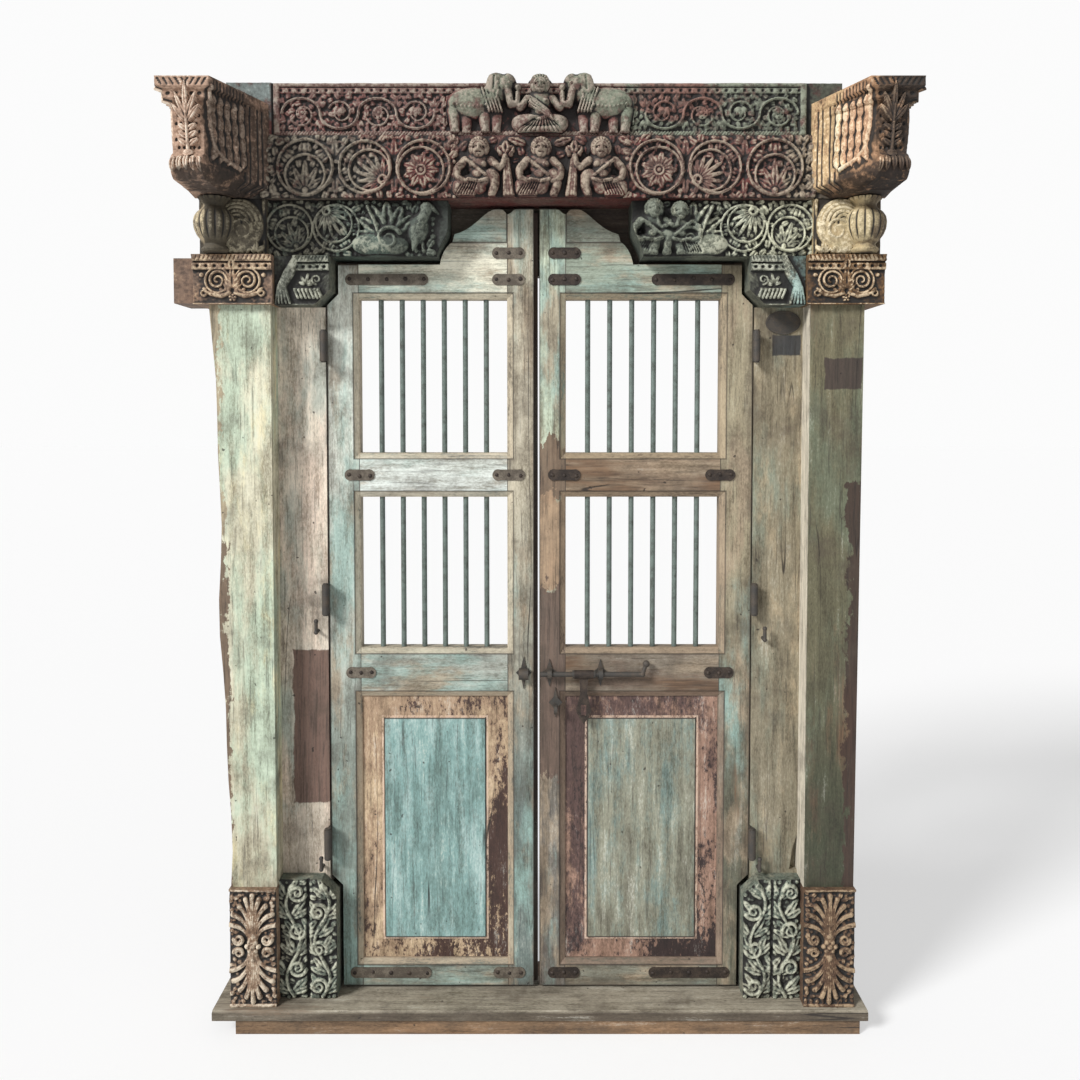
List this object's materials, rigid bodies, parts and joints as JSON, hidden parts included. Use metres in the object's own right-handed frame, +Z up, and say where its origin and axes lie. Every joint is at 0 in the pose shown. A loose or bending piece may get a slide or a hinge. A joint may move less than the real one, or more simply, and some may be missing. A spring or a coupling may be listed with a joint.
{
  "type": "carved double-leaf entrance door",
  "caption": "Old carved wooden entrance door in its own frame: two leaves with barred windows swing outward under carved lintels and corbels, and a sliding bolt with a hasp locks them.",
  "frame": {"origin": "on the floor under the middle of the threshold; y = 0 is the front face of the closed leaves", "axes": "+X along the wall to the viewer's right, +Y into the building, +Z up"},
  "size_m": [1.593, 0.364, 2.1348],
  "materials": {
    "threshold_wood": "bare, worn grey-brown",
    "cream_paint": "old cream paint worn to the wood",
    "olive_paint": "old olive green paint worn to the wood",
    "brown_wood": "bare, dark and dry",
    "rose_grey_paint": "old rose-grey paint worn to the wood",
    "tan_paint": "old tan paint worn to the wood",
    "dark_green_paint": "carved, old dark green paint",
    "gold_brown_wood": "carved, old cream paint over golden wood",
    "maroon_paint": "carved, old maroon paint worn grey on the high places",
    "grey_green_paint": "pale grey-green paint worn to the wood",
    "turquoise_paint": "turquoise paint, flaking",
    "bar_paint": "grey blue-green paint on iron",
    "iron": "wrought, dark brown",
    "plaque_metal": "dull grey"
  },
  "bodies": {
    "frame": {"threshold_board": "threshold_wood", "threshold_plinth": "threshold_wood", "left_post": "cream_paint", "right_post": "olive_paint", "left_post_base": "brown_wood", "right_post_base": "brown_wood", "left_jamb": "rose_grey_paint", "right_jamb": "tan_paint", "left_jamb_base": "dark_green_paint", "right_jamb_base": "dark_green_paint", "left_outer_capital": "gold_brown_wood", "right_outer_capital": "gold_brown_wood", "left_inner_capital": "dark_green_paint", "right_inner_capital": "dark_green_paint", "lower_lintel_left": "dark_green_paint", "lower_lintel_right": "dark_green_paint", "head_board": "brown_wood", "middle_lintel": "maroon_paint", "upper_lintel": "maroon_paint", "left_corbel": "gold_brown_wood", "right_corbel": "gold_brown_wood", "left_pot_bracket": "brown_wood", "right_pot_bracket": "cream_paint", "jamb_hooks": "iron", "oval_plaque": "plaque_metal", "left_hinge_jamb_plates": "iron", "right_hinge_jamb_plates": "iron", "hinge_pins": "iron"},
    "left_leaf": {"left_hinge_stile": "grey_green_paint", "left_meeting_stile": "grey_green_paint", "left_top_rail": "grey_green_paint", "left_crest": "grey_green_paint", "left_upper_mid_rail": "grey_green_paint", "left_lower_mid_rail": "grey_green_paint", "left_bottom_rail": "grey_green_paint", "left_panel": "turquoise_paint", "left_upper_grille": "bar_paint", "left_lower_grille": "bar_paint", "left_straps": "iron", "left_hinge_leaf_plates": "iron", "bolt_keeper": "iron", "meeting_strip": "brown_wood"},
    "right_leaf": {"right_hinge_stile": "grey_green_paint", "right_meeting_stile": "grey_green_paint", "right_top_rail": "grey_green_paint", "right_crest": "grey_green_paint", "right_upper_mid_rail": "brown_wood", "right_lower_mid_rail": "grey_green_paint", "right_bottom_rail": "grey_green_paint", "right_panel": "grey_green_paint", "right_upper_grille": "bar_paint", "right_lower_grille": "bar_paint", "right_straps": "iron", "right_hinge_leaf_plates": "iron", "bolt_brackets": "iron", "hasp_staple": "iron"},
    "bolt": {"bolt_rod": "iron"},
    "hasp": {"hasp": "iron"}
  },
  "joints": [
    {"name": "left_leaf_swing", "type": "hinge", "parent": "frame", "child": "left_leaf", "pos_m": [-0.49, -0.026, 0], "axis": [0, 0, -1], "range_deg": [0, 90]},
    {"name": "right_leaf_swing", "type": "hinge", "parent": "frame", "child": "right_leaf", "pos_m": [0.49, -0.026, 0], "axis": [0, 0, 1], "range_deg": [0, 90]},
    {"name": "bolt_slide", "type": "slide", "parent": "right_leaf", "child": "bolt", "axis": [-1, 0, 0], "range_m": [0, 0.034]},
    {"name": "hasp_lift", "type": "hinge", "parent": "bolt", "child": "hasp", "pos_m": [0.101, -0.016, 0.8055], "axis": [-1, 0, 0], "range_deg": [0, 110]}
  ]
}
